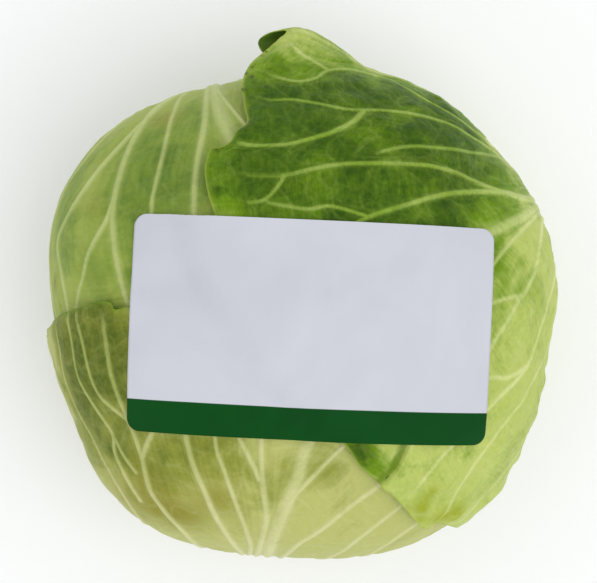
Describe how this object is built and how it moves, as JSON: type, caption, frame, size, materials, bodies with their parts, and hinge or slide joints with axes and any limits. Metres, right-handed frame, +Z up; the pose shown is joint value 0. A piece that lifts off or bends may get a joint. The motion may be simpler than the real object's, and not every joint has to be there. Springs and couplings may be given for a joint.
{
  "type": "green cabbage",
  "caption": "Head of smooth green cabbage with overlapping ribbed outer leaves, a cut stem it stands on, and a blank paper label on top.",
  "frame": {"origin": "centre of the cut face under the stem, on the surface that the head stands on", "axes": "+Z up along the stem towards the apex, +X to the picture's right, +Y to the picture's top"},
  "size_m": [0.1722, 0.1773, 0.1494],
  "materials": {
    "stem": "matte",
    "heart": "satin",
    "inner_leaf": "satin",
    "upper_left_leaf": "satin",
    "lower_leaf": "satin",
    "right_leaf": "satin",
    "label": "satin"
  },
  "bodies": {
    "root": {"stem": "stem", "heart": "heart", "leaf_inner_right": "inner_leaf", "leaf_inner_left": "inner_leaf", "leaf_inner_back": "inner_leaf", "leaf_upper_left": "upper_left_leaf", "leaf_lower": "lower_leaf", "leaf_right": "right_leaf", "label": "label"}
  },
  "joints": []
}
